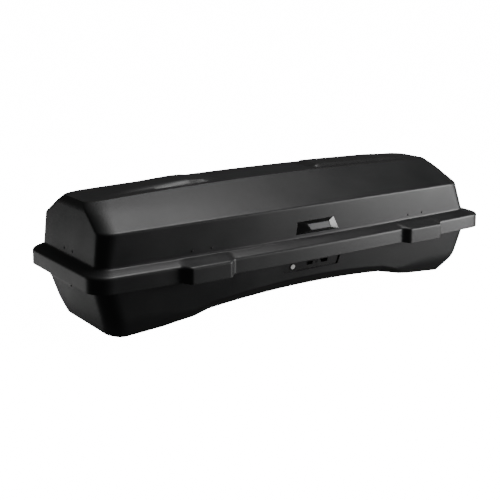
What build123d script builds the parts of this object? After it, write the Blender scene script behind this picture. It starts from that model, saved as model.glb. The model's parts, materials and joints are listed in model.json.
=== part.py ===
from build123d import *
import os
from itertools import pairwise
from math import atan, cos, hypot, sin, sqrt

# Roof cargo box, in millimetres. +X is forward on the car, +Y is the hinge side, +Z is up.
# The origin lies under the middle of the box, level with the lowest point of its underside.

os.makedirs("parts", exist_ok=True)

# ---------------------------------------------------------------- driving dimensions
LENGTH = 1800.0  # over the rim, end to end
RIM_WIDTH = 606.0  # over the rim at its widest place
WIDEST_X = 28.0  # where the plan is widest
REAR_NARROWING = 22.0  # how far each side has drawn in at the rear end
FRONT_NARROWING = 34.0
REAR_CORNER = 70.0  # plan radius of the rim's corners
FRONT_CORNER = 60.0
SHELL = 4.0  # wall of the two moulded shells
GAP = 0.3  # between pieces that only lie beside each other
RUNNING_FIT = 0.05  # radial, pins and shafts in their holes

RIM_Z = 188.0  # lower edge of the lid's rim above the lowest point
RIM_HEIGHT = 55.0
RIM_CROWN = 20.0  # rise of the rim's top face to the foot of the lid wall
LID_WALL = 119.0  # lid wall, foot to crease
LID_ROOF = 99.0  # sloping roof, crease to top panel
ROOF_DROP = 22.0  # how far the top panel falls from its middle to 850 mm away
PAD_RAISE = 12.0  # raised front and rear areas of the top panel
PAD_HALF_WIDTH = 66.0

LIP_INSET = 10.0  # base lip inside the rim's outer edge
LIP_HEIGHT = 44.0
TUB_FLARE = 40.0  # bevel between the arched floor and the side walls
FLOOR_INSET = 90.0  # flat part of the arched floor, inside the rim's edge
FLOOR_FLAT = RIM_WIDTH / 2 - FLOOR_INSET
ROOF_HALF_WIDTH = 91.0  # top panel

BULGE_LENGTH = 210.0  # housings in the rim over the hinges and catches
BULGE_RAMP = 24.0
BULGE_PROUD = 26.0
BULGE_DROP = 4.0  # below the rim's lower edge
STATIONS = {"rear": -475.0, "front": 532.0}  # hinges and catches along the box
RIVET_PITCH = 78.0
RIVET_RADIUS = 4.0
RIVET_HEIGHT = 20.0  # above the foot of the lid wall

HINGE_RADIUS = 7.0  # knuckles
HINGE_PIN_RADIUS = 3.0
HINGE_ABOVE_RIM_EDGE = 6.0
LEAF_WIDTH = 44.0
LEAF = 3.0  # thickness of pressed steel brackets
KNUCKLE = 16.0

STRUT_STATIONS = {"rear": -330.0, "front": 330.0}
STRUT_LOW = (RIM_WIDTH / 2 - 62.0, 205.0)  # y, z of the pivot on the base
STRUT_HIGH = (RIM_WIDTH / 2 - 153.0, 420.0)  # y, z of the pivot on the lid
STRUT_BODY_RADIUS = 9.0
STRUT_ROD_RADIUS = 4.0
STRUT_BODY = 150.0
STRUT_EYE_RADIUS = 8.0
STRUT_EYE = 10.0
STUD_RADIUS = 4.0

BAR_Y = 35.0 - RIM_WIDTH / 2  # locking bar, inside the catch side of the rim
BAR_THICK = 3.0
BAR_DEPTH = 20.0
BAR_Z = 198.0
BAR_ENDS = (-545.0, 512.0)
BAR_TRAVEL = 22.0
GUIDES_X = (-300.0, -150.0, 200.0, 400.0)
STRIKER_PIN_RADIUS = 4.0
STRIKER_PIN_Z = 214.0
CLAW_THICK = 4.0
CLAW_JAW = BAR_TRAVEL  # the jaw clears the pin at the end of the travel

LOCK_X = 3.0  # middle of the lock panel
LOCK_Z = 161.0
PANEL_LENGTH = 284.0
PANEL_HEIGHT = 48.0
PANEL_SLANT = 12.0
PANEL_RECESS = 6.0
PANEL_EDGE = 1.3  # how far the tray's edge lies below the wall
BARREL_X = -84.0  # from the middle of the panel
BARREL_Y = -4.0
BARREL_RADIUS = 9.5
SLOT_ENDS = (-18.0, 80.0)  # handle slot along the panel
SLOT_HEIGHT = 14.0
HANDLE_LENGTH = 41.0
HANDLE_START = 8.0
HANDLE_PROUD = 3.0
CASE_DEPTH = 26.0
CAM_REACH = 16.0
CAM_HALF = 4.0
CAM_THICK = 3.0
TAB_WIDTH = 2.4  # the bar's tab that the cam stands against
TAB_OVERLAP = 2.0  # how far the tab hangs past the cam's tip
LINK = (20.0, 40.0)  # upright of the bar's link, from the middle of the panel
LINK_FOOT = -6.0
STRIP = (18.0, 26.0)  # the link's strip above the cam
RIDGES = (0.3, 0.42, 0.54)  # grip ridges along the slide handle
RIDGE_WIDTH = 2.0
BARREL_PROUD = 2.5

CLAMP_Y = RIM_WIDTH / 2 - 163.0
CLAMPS = {"rear_right": (-255.0, -CLAMP_Y), "rear_left": (-255.0, CLAMP_Y),
          "front_right": (285.0, -CLAMP_Y), "front_left": (285.0, CLAMP_Y)}
PLATE = (170.0, 62.0, 5.0)
SLOT_SEAL = 2.5
FLOOR_SLOT = (140.0, 13.0)
SHANK_RADIUS = 5.0
SHANK_RISE = 58.0
SEAL_CLEAR = 1.5  # radial, round the shank
PLATE_CLEAR = 1.0
PLATE_MARGIN = 6.0
PLATE_CORNER = 8.0
PLATE_FOOT = (24.0, 9.0)
FOOT_INSET = 22.0
KNOB_CORE = 17.28  # radius of the knob's boss
KNOB_WING = 13.0
JAW_CORNER = 5.0
LIP_THICK = 5.0
KNOB_RADIUS = 24.0
KNOB_HEIGHT = 24.0
JAW = (80.0, 26.0, 4.0)
JAW_HEEL = 8.0  # jaw behind the shank; the rest reaches forward under the crossbar
JAW_DROP = 12.0
JAW_LIP = 7.0

RIVET_SHANK = 2.5
RIVET_DOME = 2.0
RIVET_CLEAR = 2.3  # hinge rivets above the hinge axis, clear of the flange
REAR_RIVETS_Y = (-33.0, 33.0)
REAR_LIP_LENGTH = 166.0
BADGE_POCKET = 1.5
RIB_WIDTH = 40.0
RIB_DEPTH = 10.0

STRAPS_X = {"rear": -150.0, "front": 180.0}
STRAP = (25.0, 1.6)
STRAP_REACH = FLOOR_FLAT - 23.0

# ---------------------------------------------------------------- places that follow
HALF = LENGTH / 2
RIM_TOP = RIM_Z + RIM_HEIGHT
FOOT = RIM_TOP + RIM_CROWN
CREASE = FOOT + LID_WALL
TOP = CREASE + LID_ROOF
SHOULDER = RIM_Z + SHELL
LIP_TOP = RIM_Z + LIP_HEIGHT
HINGE_Y = RIM_WIDTH / 2
HINGE_Z = RIM_Z + HINGE_ABOVE_RIM_EDGE
RIVET_Z = FOOT + RIVET_HEIGHT

# Levels of the two shells: height, then how far the outline lies inside the rim's edge at the
# sides, the rear and the front, then its corner radius behind and in front.
RIM_EDGE = (RIM_Z, 0.0, 0.0, 0.0, REAR_CORNER, FRONT_CORNER)
LID_LEVELS = [
    RIM_EDGE,
    (RIM_TOP, 1.0, 1.0, 1.0, REAR_CORNER, FRONT_CORNER),
    (FOOT, 41.0, 38.0, 58.0, 62.0, 56.0),
    (CREASE, 38.0, 57.0, 104.0, 70.0, 60.0),
    (TOP, RIM_WIDTH / 2 - ROOF_HALF_WIDTH, 76.0, 170.0, 45.0, 40.0),
]
WALL_TOP = (SHOULDER, 40.0, 36.0, 44.0, 60.0, 52.0)
TUB_LEVELS = [
    WALL_TOP,
    (60.0, 58.0, 77.0, 76.0, 62.0, 60.0),
    (0.0, FLOOR_INSET, 112.0, 150.0, 60.0, 60.0),
]
# Underside along the box: the ends hang deep and the middle arches up over the crossbars.
REAR_FOOT = [(-762.0, 0.0), (-486.0, 29.0), (-423.0, 46.0)]
ARCH_TOP = (-28.0, 69.5)
FRONT_FOOT = [(379.0, 56.0), (492.0, 30.0), (739.0, 3.0)]


def circle_through(first, middle, last):
    """Centre and radius of the circle through three points."""
    (ax, ay), (bx, by), (cx, cy) = first, middle, last
    turn = 2 * (ax * (by - cy) + bx * (cy - ay) + cx * (ay - by))
    a, b, c = ax**2 + ay**2, bx**2 + by**2, cx**2 + cy**2
    x = (a * (by - cy) + b * (cy - ay) + c * (ay - by)) / turn
    y = (a * (cx - bx) + b * (ax - cx) + c * (bx - ax)) / turn
    return x, y, hypot(ax - x, ay - y)


def half_width(x):
    """Half the rim's width at a place along the box."""
    half = RIM_WIDTH / 2
    ends = (-HALF, half - REAR_NARROWING), (WIDEST_X, half), (HALF, half - FRONT_NARROWING)
    centre_x, centre_y, radius = circle_through(*ends)
    return centre_y + sqrt(radius**2 - (x - centre_x) ** 2)


def arch_height(x):
    """Height of the underside in the arched middle of the box."""
    centre_x, centre_z, radius = circle_through(REAR_FOOT[-1], ARCH_TOP, FRONT_FOOT[0])
    return centre_z + sqrt(radius**2 - (x - centre_x) ** 2)


def arch_slope(x):
    centre_x, centre_z, _ = circle_through(REAR_FOOT[-1], ARCH_TOP, FRONT_FOOT[0])
    return -(x - centre_x) / (arch_height(x) - centre_z)


def wall_inset(levels, z):
    """How far a shell's side lies inside the rim's edge at a height."""
    for high, low in pairwise(sorted(levels, reverse=True)):
        if low[0] <= z <= high[0]:
            return low[1] + (high[1] - low[1]) * (z - low[0]) / (high[0] - low[0])
    return levels[0][1]


def plan_outline(level, inward=0.0):
    """Outline of the box at one level, drawn a further distance inward."""
    _, side, rear, front, rear_corner, front_corner = level
    half = RIM_WIDTH / 2 - side - inward
    rear_x, front_x = rear + inward - HALF, HALF - front - inward
    rear_y = half_width(rear_x) - side - inward
    front_y = half_width(front_x) - side - inward
    with BuildSketch() as outline:
        with BuildLine():
            ThreePointArc((rear_x, -rear_y), (WIDEST_X, -half), (front_x, -front_y))
            Line((front_x, -front_y), (front_x, front_y))
            ThreePointArc((front_x, front_y), (WIDEST_X, half), (rear_x, rear_y))
            Line((rear_x, rear_y), (rear_x, -rear_y))
        make_face()
        ends = outline.vertices().group_by(Axis.X)
        fillet(ends[0], max(rear_corner - inward, 1.0))
        ends = outline.vertices().group_by(Axis.X)
        fillet(ends[-1], max(front_corner - inward, 1.0))
    return outline.sketch


def stacked(levels, inward=0.0, top_drop=0.0, bottom_rise=0.0):
    """Solid with straight walls between the outlines of several levels."""
    lowest, highest = min(levels), max(levels)
    with BuildPart() as volume:
        for pair in pairwise(sorted(levels)):
            for level in pair:
                z = level[0] + (bottom_rise if level is lowest else 0.0)
                with BuildSketch(Plane.XY.offset(z - (top_drop if level is highest else 0.0))):
                    add(plan_outline(level, inward))
            loft(ruled=True)
    return volume.part


def bulge_outline(station, side, inward=0.0):
    """Plan of one rim bulge: a low trapezoid on the rim's edge."""
    edge = half_width(station)
    foot, crown = BULGE_LENGTH / 2 - inward, BULGE_LENGTH / 2 - BULGE_RAMP - inward
    outer = edge + BULGE_PROUD - inward
    inner = edge - 2 * SHELL - inward
    points = [(-foot, inner), (-foot, edge - inward), (-crown, outer)]
    points += [(-x, y) for x, y in reversed(points)]
    with BuildSketch() as outline:
        Polygon(*[(station + x, side * y) for x, y in points], align=None)
        outer_corners = outline.vertices().sort_by(Axis.Y)[-2:] if side > 0 else \
            outline.vertices().sort_by(Axis.Y)[:2]
        fillet(outer_corners, 8.0)
    return outline.sketch


def top_profile(drop=0.0):
    """Side view of everything above the top panel: its lower edge is the arched roof line."""
    with BuildSketch() as profile:
        with BuildLine():
            ThreePointArc((-HALF, TOP - ROOF_DROP - drop), (0, TOP - drop), (HALF, TOP - ROOF_DROP - drop))
            Polyline((HALF, TOP - ROOF_DROP - drop), (HALF, TOP + 60), (-HALF, TOP + 60),
                     (-HALF, TOP - ROOF_DROP - drop))
        make_face()
    return profile.sketch


def pad_profile(drop=0.0):
    """Side view of the raised rear and front areas of the top panel."""
    low, level = TOP - 60, TOP - drop
    rear = [(-800, level - 17), (-620, level - 2), (-430, level + PAD_RAISE - 3),
            (-385, level + PAD_RAISE - 3), (-262, level - 1)]
    front = [(152, level - 1), (184, level + PAD_RAISE - 2), (300, level + PAD_RAISE - 4),
             (516, level + 3), (625, level - 4), (700, level - 13)]
    with BuildSketch() as profile:
        for line in (rear, front):
            Polygon((line[0][0], low), *line, (line[-1][0], low), align=None)
    return profile.sketch


def lid_volume(inward=0.0):
    """The lid as a solid, drawn inward by a wall; its inner volume also runs out below."""
    with BuildPart() as volume:
        add(stacked(LID_LEVELS, inward, inward, -2 * SHELL if inward else 0.0))
        with BuildSketch(Plane.XZ):
            add(top_profile(inward))
        extrude(amount=RIM_WIDTH, both=True, mode=Mode.SUBTRACT)
        with BuildSketch(Plane.XZ):
            add(pad_profile(inward))
        extrude(amount=PAD_HALF_WIDTH - inward, both=True)
        low = RIM_Z - BULGE_DROP - (2 * SHELL if inward else 0.0)
        for station in STATIONS.values():
            for side in (-1, 1):
                with BuildSketch(Plane.XY.offset(low)):
                    add(bulge_outline(station, side, inward))
                extrude(amount=RIM_TOP - 1.0 - inward - low)
    return volume.part


def arch_cutter(raised, up=0.0):
    """Side view of the space below the underside, `raised` where the sides are bevelled."""
    lift = raised + up
    rear = [(x, z + lift) for x, z in REAR_FOOT]
    front = [(x, z + lift) for x, z in FRONT_FOOT]
    with BuildSketch() as profile:
        with BuildLine():
            Polyline((-800, -120), *rear)
            ThreePointArc(rear[-1], (ARCH_TOP[0], ARCH_TOP[1] + lift), front[0])
            Polyline(*front, (780, -120), (-800, -120))
        make_face()
    return profile.sketch


def tub_volume(inward=0.0):
    """The base tub as a solid, drawn inward by a wall, open at the top when drawn inward."""
    flare_start, flare_end = FLOOR_FLAT - inward / 2, FLOOR_FLAT + TUB_FLARE - inward / 2
    edge = RIM_WIDTH / 2 + 20
    raises = [(-edge, TUB_FLARE), (-flare_end, TUB_FLARE), (-flare_start, 0.0),
              (flare_start, 0.0), (flare_end, TUB_FLARE), (edge, TUB_FLARE)]
    with BuildPart() as volume:
        add(stacked(TUB_LEVELS, inward, 0.0, inward))
        for pair in pairwise(raises):
            for y, raised in pair:
                with BuildSketch(Plane.XZ.offset(-y)):
                    add(arch_cutter(raised, inward))
            loft(ruled=True, mode=Mode.SUBTRACT)
        if inward:
            with BuildSketch(Plane.XY.offset(SHOULDER)):
                add(plan_outline(WALL_TOP, inward))
            extrude(amount=SHELL)
    return volume.part


def inset_at(levels, x, z):
    """Distance of a shell's side wall from the middle plane at a place and height."""
    return half_width(x) - wall_inset(levels, z)


def floor_plane(x, y, above=0.0):
    """Plane on the arched floor, tilted with it."""
    slope = atan(arch_slope(x))
    up = Vector(-sin(slope), 0, cos(slope))
    on_floor = Vector(x, y, arch_height(x)) + up * (SHELL / cos(slope) + above)
    return Plane(origin=on_floor, x_dir=(cos(slope), 0, sin(slope)), z_dir=up)


def finish(piece, name):
    """Name a piece and write it."""
    piece.part.label = name
    export_step(piece.part, f"parts/{name}.step")


WALL_LEAN = atan((TUB_LEVELS[1][1] - WALL_TOP[1]) / (SHOULDER - TUB_LEVELS[1][0]))
# Lock panel: x along the box, y up the wall, z outward, on the outer face of the wall.
LOCK_PLANE = Plane(
    origin=(LOCK_X, -inset_at(TUB_LEVELS, LOCK_X, LOCK_Z), LOCK_Z),
    x_dir=(1, 0, 0),
    z_dir=(0, -cos(WALL_LEAN), -sin(WALL_LEAN)),
)


def lock_level(outward):
    """Plane of the lock panel moved outward, or inward when negative."""
    return LOCK_PLANE.offset(outward)


def panel_outline(inward=0.0):
    """The lock panel's outline: a long panel whose ends slant in towards the bottom."""
    length, height = PANEL_LENGTH / 2 - inward, PANEL_HEIGHT / 2 - inward
    with BuildSketch() as outline:
        Polygon((-length, height), (-length + PANEL_SLANT, -height),
                (length - PANEL_SLANT, -height), (length, height), align=None)
        fillet(outline.vertices(), 5.0)
    return outline.sketch


def narrowest(station, reach):
    """Half width of the rim at whichever end of a short stretch is narrower."""
    return min(half_width(station - reach), half_width(station + reach))


def rivet(centre, outward, grip):
    """Dome-headed rivet through a stack of `grip`, its dome on the `outward` side of centre."""
    face = Plane(origin=centre, z_dir=outward)
    with BuildPart() as body:
        with BuildSketch(face.offset(-grip)):
            Circle(RIVET_SHANK)
        extrude(amount=grip)
        with BuildSketch(face) as dome:
            Circle(RIVET_RADIUS)
        extrude(amount=RIVET_DOME)
        fillet(body.edges().filter_by(GeomType.CIRCLE).sort_by(face_axis(face))[-1], RIVET_DOME * 0.8)
        with BuildSketch(face.offset(-grip)):
            Circle(RIVET_RADIUS - 0.5)
        extrude(amount=-RIVET_DOME / 2)
    return body.part


def face_axis(plane):
    """Axis through a plane's origin along its normal."""
    return Axis(plane.origin, plane.z_dir)


def drill(centre, direction, depth):
    """Cutter for a rivet's hole, centred on a point, its seam turned away from the level."""
    hole = Cylinder(RIVET_SHANK + RUNNING_FIT, depth, rotation=(0, 0, 30), mode=Mode.PRIVATE)
    return Plane(origin=centre, z_dir=direction) * hole


# Rivets through the lid wall: beside every hinge and catch, and a pair at the rear.
LID_RIVETS = []
for station in STATIONS.values():
    for x in (station - RIVET_PITCH / 2, station + RIVET_PITCH / 2):
        for side in (-1, 1):
            y = side * (inset_at(LID_LEVELS, x, RIVET_Z) + GAP)
            LID_RIVETS.append(((x, y, RIVET_Z), (0, side, 0)))
FOOT_LEVEL, CREASE_LEVEL = LID_LEVELS[2], LID_LEVELS[3]
REAR_LEAN = (CREASE_LEVEL[2] - FOOT_LEVEL[2]) / LID_WALL
REAR_RIVET_X = -HALF + FOOT_LEVEL[2] + REAR_LEAN * RIVET_HEIGHT - GAP
REAR_RIVETS = [((REAR_RIVET_X, y, RIVET_Z), (-1, 0, REAR_LEAN)) for y in REAR_RIVETS_Y]

# Rivets in the base: two through the lip at each hinge, one through the flange at each stay.
LIP_CUT = LEAF_WIDTH + 2 * KNUCKLE + 4 * SHELL
BRACKET_REACH = LIP_CUT / 2 + 3 * RIVET_RADIUS
STUD_PLATE = 4.0
STAY_SIDE = STRUT_BODY_RADIUS + 1.0  # from a stay's middle to the plates that hold it


def bracket_seat(station):
    """Distance from the middle plane to a hinge bracket lying on the lip's outer face."""
    widest = max(half_width(station - BRACKET_REACH), half_width(station + BRACKET_REACH))
    return widest - LIP_INSET + GAP


def stay_flange(x):
    """Near and far edge of a stay's foot on the flange."""
    return STRUT_LOW[0] + 17, half_width(x) - LIP_INSET - SHELL - 3 * LEAF


BASE_RIVETS = []
for station in STATIONS.values():
    for side in (-1, 1):
        x = station + side * (BRACKET_REACH - 2 * RIVET_RADIUS)
        head = bracket_seat(station) + LEAF
        grip = head - half_width(x) + LIP_INSET + SHELL + GAP
        BASE_RIVETS.append(((x, head, HINGE_Z + RIVET_CLEAR), (0, 1, 0), grip))
for x in STRUT_STATIONS.values():
    centre = (x + STAY_SIDE + 16, sum(stay_flange(x)) / 2, SHOULDER + LEAF)
    BASE_RIVETS.append((centre, (0, 0, 1), LEAF + SHELL))

# ================================================================ base
with BuildPart() as base_shell:
    add(tub_volume())
    # flange outward from the top of the walls, and the lip that stands up inside the lid's rim
    with BuildSketch(Plane.XY.offset(RIM_Z)):
        add(plan_outline(RIM_EDGE, LIP_INSET))
    extrude(amount=SHELL)
    with BuildSketch(Plane.XY.offset(RIM_Z)):
        add(plan_outline(RIM_EDGE, LIP_INSET))
        add(plan_outline(RIM_EDGE, LIP_INSET + SHELL), mode=Mode.SUBTRACT)
    extrude(amount=LIP_HEIGHT)
    add(tub_volume(SHELL), mode=Mode.SUBTRACT)
    # the lip is cut down where the hinge leaves pass over it
    for station in STATIONS.values():
        with Locations((station, half_width(station) - LIP_INSET, LIP_TOP)):
            Box(LIP_CUT, 4 * SHELL, 2 * (LIP_HEIGHT - 3 * SHELL), mode=Mode.SUBTRACT)
    # opening for the lock panel
    with BuildSketch(lock_level(SHELL)):
        add(panel_outline())
    extrude(amount=-3 * SHELL, mode=Mode.SUBTRACT)
    # slots for the clamps
    for x, y in CLAMPS.values():
        with BuildSketch(floor_plane(x, y, SHELL)):
            SlotOverall(*FLOOR_SLOT)
        extrude(amount=-3 * SHELL, mode=Mode.SUBTRACT)
    for centre, outward, grip in BASE_RIVETS:
        add(drill(centre, outward, 3 * grip), mode=Mode.SUBTRACT)
finish(base_shell, "base_shell")

with BuildPart() as base_rivets:
    for centre, outward, grip in BASE_RIVETS:
        add(rivet(centre, outward, grip))
finish(base_rivets, "base_rivets")

# hinge halves on the base, and their pins
KNUCKLE_START = LEAF_WIDTH / 2 + GAP
for name, station in STATIONS.items():
    lip_face = bracket_seat(station)
    with BuildPart() as hinge_base:
        with Locations((station, lip_face + LEAF / 2, HINGE_Z)):
            Box(2 * BRACKET_REACH, LEAF, 2 * HINGE_ABOVE_RIM_EDGE)
        for side in (-1, 1):
            middle = station + side * (KNUCKLE_START + KNUCKLE / 2)
            with BuildSketch(Plane.YZ.offset(middle - KNUCKLE / 2)):
                with Locations((HINGE_Y, HINGE_Z)):
                    Circle(HINGE_RADIUS)
                with Locations(((lip_face + HINGE_Y) / 2, HINGE_Z)):
                    Rectangle(HINGE_Y - lip_face, 2 * HINGE_PIN_RADIUS + 2)
                with Locations((HINGE_Y, HINGE_Z)):
                    Circle(HINGE_PIN_RADIUS, mode=Mode.SUBTRACT)
            extrude(amount=KNUCKLE)
        for centre, outward, grip in BASE_RIVETS:
            add(drill(centre, outward, 3 * grip), mode=Mode.SUBTRACT)
    finish(hinge_base, f"hinge_base_{name}")

with BuildPart() as hinge_pins:
    for station in STATIONS.values():
        length = 2 * (KNUCKLE_START + KNUCKLE)
        with BuildSketch(Plane.YZ.offset(station - length / 2)):
            with Locations((HINGE_Y, HINGE_Z)):
                Circle(HINGE_PIN_RADIUS)
        extrude(amount=length)
        for end in (station - length / 2 - 1.5, station + length / 2):
            with BuildSketch(Plane.YZ.offset(end)):
                with Locations((HINGE_Y, HINGE_Z)):
                    Circle(HINGE_PIN_RADIUS + 1.5)
            extrude(amount=1.5)
finish(hinge_pins, "hinge_pins")

# guides that hold the locking bar on the flange
with BuildPart() as bar_guides:
    for x in GUIDES_X:
        with Locations((x, BAR_Y, SHOULDER)):
            Box(20, BAR_THICK + 2 * LEAF + 2 * GAP, BAR_DEPTH, align=(Align.CENTER, Align.CENTER, Align.MIN))
        with Locations((x, BAR_Y, BAR_Z - GAP)):
            Box(22, BAR_THICK + 2 * GAP, BAR_DEPTH, align=(Align.CENTER, Align.CENTER, Align.MIN),
                mode=Mode.SUBTRACT)
finish(bar_guides, "bar_guides")

# lock panel: a shallow tray in the wall, with a ring round the barrel and a slot for the handle
FACE = -PANEL_RECESS
with BuildPart() as lock_panel:
    with BuildSketch(lock_level(FACE - LEAF)):
        add(panel_outline(-1.5 * SHELL))
    extrude(amount=LEAF)
    with BuildSketch(lock_level(FACE)):
        add(panel_outline(GAP))
        add(panel_outline(GAP + 2.0), mode=Mode.SUBTRACT)
    extrude(amount=PANEL_RECESS - PANEL_EDGE)
    with BuildSketch(lock_level(FACE)):
        with Locations((BARREL_X, BARREL_Y)):
            Circle(BARREL_RADIUS + 3.5)
    extrude(amount=1.5)
    with BuildSketch(lock_level(FACE + 1.5)):
        with Locations((BARREL_X, BARREL_Y)):
            Circle(BARREL_RADIUS + RUNNING_FIT)
        with Locations((sum(SLOT_ENDS) / 2, 0)):
            Rectangle(SLOT_ENDS[1] - SLOT_ENDS[0], SLOT_HEIGHT)
    extrude(amount=-LEAF - 2.0, mode=Mode.SUBTRACT)
finish(lock_panel, "lock_panel")

# cover over the lock's works inside the tub, open at its top
CASE = (PANEL_LENGTH - 44.0, PANEL_HEIGHT - 2.0)
CASE_TOP = FACE - LEAF - GAP
with BuildPart() as lock_case:
    for shrink, depth, mode in ((0.0, CASE_DEPTH + 8.0, Mode.ADD), (2.0, CASE_DEPTH + 6.0, Mode.SUBTRACT)):
        with BuildSketch(lock_level(CASE_TOP)):
            with Locations((0, shrink - 2.0)):
                Rectangle(CASE[0] - 2 * shrink, CASE[1])
        extrude(amount=-depth, mode=mode)
finish(lock_case, "lock_case")

# feet of the gas stays: a bracket on the flange with a stud
for name, x in STRUT_STATIONS.items():
    y, z = STRUT_LOW
    plate_x = x + STAY_SIDE
    near_y, outer_y = stay_flange(x)
    with BuildPart() as stay_foot:
        with BuildSketch(Plane.YZ.offset(plate_x)):
            Polygon((y - 8, z - 6), (y - 8, z + 8), (y + 8, z + 8), (outer_y, SHOULDER + LEAF),
                    (outer_y, SHOULDER), (near_y, SHOULDER), align=None)
        extrude(amount=STUD_PLATE)
        with Locations((plate_x, (outer_y + near_y) / 2, SHOULDER)):
            Box(26, outer_y - near_y, LEAF, align=(Align.MIN, Align.CENTER, Align.MIN))
        with BuildSketch(Plane.YZ.offset(x - STRUT_EYE / 2 - 1.0)):
            with Locations(STRUT_LOW):
                Circle(STUD_RADIUS)
        extrude(amount=plate_x - x + STRUT_EYE / 2 + 1.0)
        for centre, outward, grip in BASE_RIVETS:
            add(drill(centre, outward, 3 * grip), mode=Mode.SUBTRACT)
    finish(stay_foot, f"stay_foot_{name}")

# crossbar clamps: seal, plate, knob, and the claw whose shank runs through them
with BuildPart() as slot_seals:
    for x, y in CLAMPS.values():
        with BuildSketch(floor_plane(x, y, GAP)):
            Rectangle(PLATE[0], PLATE[1])
            Circle(SHANK_RADIUS + SEAL_CLEAR, mode=Mode.SUBTRACT)
        extrude(amount=SLOT_SEAL)
finish(slot_seals, "slot_seals")

for name, (x, y) in CLAMPS.items():
    seat = GAP + SLOT_SEAL
    with BuildPart() as clamp_plate:
        with BuildSketch(floor_plane(x, y, seat)):
            RectangleRounded(PLATE[0] - PLATE_MARGIN, PLATE[1] - PLATE_MARGIN, PLATE_CORNER)
            Circle(SHANK_RADIUS + PLATE_CLEAR, mode=Mode.SUBTRACT)
        extrude(amount=PLATE[2])
        with BuildSketch(floor_plane(x, y, seat + PLATE[2])):
            for end in (-1, 1):
                with Locations((end * (PLATE[0] / 2 - FOOT_INSET), 0)):
                    SlotOverall(*PLATE_FOOT, rotation=90)
        extrude(amount=2.0)
    finish(clamp_plate, f"clamp_plate_{name}")
    knob_seat = seat + PLATE[2] + GAP
    with BuildPart() as clamp_knob:
        with BuildSketch(floor_plane(x, y, knob_seat)):
            Circle(KNOB_CORE)
        extrude(amount=KNOB_HEIGHT)
        with BuildSketch(floor_plane(x, y, knob_seat + KNOB_HEIGHT / 3)):
            with PolarLocations(0, 3):
                SlotOverall(2 * KNOB_RADIUS, KNOB_WING)
        extrude(amount=KNOB_HEIGHT * 2 / 3)
        with BuildSketch(floor_plane(x, y, knob_seat)):
            Circle(SHANK_RADIUS + RUNNING_FIT)
        extrude(amount=KNOB_HEIGHT, mode=Mode.SUBTRACT)
    finish(clamp_knob, f"clamp_knob_{name}")
    jaw_top = -SHELL - JAW_DROP
    with BuildPart() as clamp_claw:
        with BuildSketch(floor_plane(x, y, jaw_top - JAW[2])):
            with Locations((JAW[0] / 2 - JAW_HEEL, 0)):
                RectangleRounded(JAW[0], JAW[1], JAW_CORNER)
        extrude(amount=JAW[2])
        with BuildSketch(floor_plane(x, y, jaw_top)):
            with Locations((JAW[0] - JAW_HEEL - LIP_THICK / 2, 0)):
                Rectangle(LIP_THICK, JAW[1] - 2 * JAW_CORNER)
        extrude(amount=JAW_LIP)
        with BuildSketch(floor_plane(x, y, jaw_top)):
            Circle(SHANK_RADIUS)
        extrude(amount=SHANK_RISE - jaw_top)
    finish(clamp_claw, f"clamp_claw_{name}")

# load straps across the floor, with their anchors and buckles
for name, x in STRAPS_X.items():
    with BuildPart() as load_strap:
        with BuildSketch(floor_plane(x, 0, GAP)):
            Rectangle(STRAP[0], 2 * STRAP_REACH)
        extrude(amount=STRAP[1])
    finish(load_strap, f"load_strap_{name}")
with BuildPart() as strap_anchors:
    for x in STRAPS_X.values():
        for side in (-1, 1):
            with BuildSketch(floor_plane(x, side * (STRAP_REACH - 8), GAP + STRAP[1])):
                RectangleRounded(STRAP[0] + 12, 20, 4)
            extrude(amount=LEAF)
finish(strap_anchors, "strap_anchors")
with BuildPart() as strap_buckles:
    for x in STRAPS_X.values():
        with BuildSketch(floor_plane(x, -STRAP_REACH / 3, GAP + STRAP[1])):
            RectangleRounded(STRAP[0] + 12, 34, 5)
            for shift in (-7.5, 7.5):
                with Locations((0, shift)):
                    Rectangle(STRAP[0] + 2, 7, mode=Mode.SUBTRACT)
        extrude(amount=LEAF)
finish(strap_buckles, "strap_buckles")

# ================================================================ lock
with BuildPart() as lock_barrel:
    with BuildSketch(lock_level(CASE_TOP - CASE_DEPTH)):
        with Locations((BARREL_X, BARREL_Y)):
            Circle(BARREL_RADIUS)
    extrude(amount=FACE + BARREL_PROUD - CASE_TOP + CASE_DEPTH)
    front = lock_barrel.edges().filter_by(GeomType.CIRCLE).sort_by(face_axis(LOCK_PLANE))[-1]
    fillet(front, 0.8)
    with BuildSketch(lock_level(FACE + BARREL_PROUD)):
        with Locations((BARREL_X, BARREL_Y)):
            Rectangle(1.8, 9.0)
    extrude(amount=-4.0, mode=Mode.SUBTRACT)
finish(lock_barrel, "lock_barrel")

CAM_BACK = CASE_TOP - CASE_DEPTH - CAM_THICK
with BuildPart() as lock_cam:
    with BuildSketch(lock_level(CAM_BACK)):
        with Locations((BARREL_X, BARREL_Y)):
            Circle(BARREL_RADIUS - 1.0)
        with Locations((BARREL_X + CAM_REACH / 2, BARREL_Y)):
            Rectangle(CAM_REACH, 2 * CAM_HALF)
        with Locations((BARREL_X + CAM_REACH, BARREL_Y)):
            Circle(CAM_HALF)
    extrude(amount=CAM_THICK)
finish(lock_cam, "lock_cam")

# ================================================================ sliding catch bar
with BuildPart() as slide_handle:
    with BuildSketch(lock_level(FACE - LEAF - 5.0)):
        x, y = HANDLE_START, SLOT_HEIGHT / 2 - 0.5
        Polygon((x, -y), (x, y), (x + HANDLE_LENGTH - 6, y), (x + HANDLE_LENGTH, -y), align=None)
    extrude(amount=LEAF + 5.0 + HANDLE_PROUD)
    with BuildSketch(lock_level(FACE + HANDLE_PROUD)):
        with Locations([(x + HANDLE_LENGTH * part, 0) for part in RIDGES]):
            Rectangle(RIDGE_WIDTH, 2 * y - 2 * RIDGE_WIDTH)
    extrude(amount=-1.0, mode=Mode.SUBTRACT)
finish(slide_handle, "slide_handle")

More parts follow.
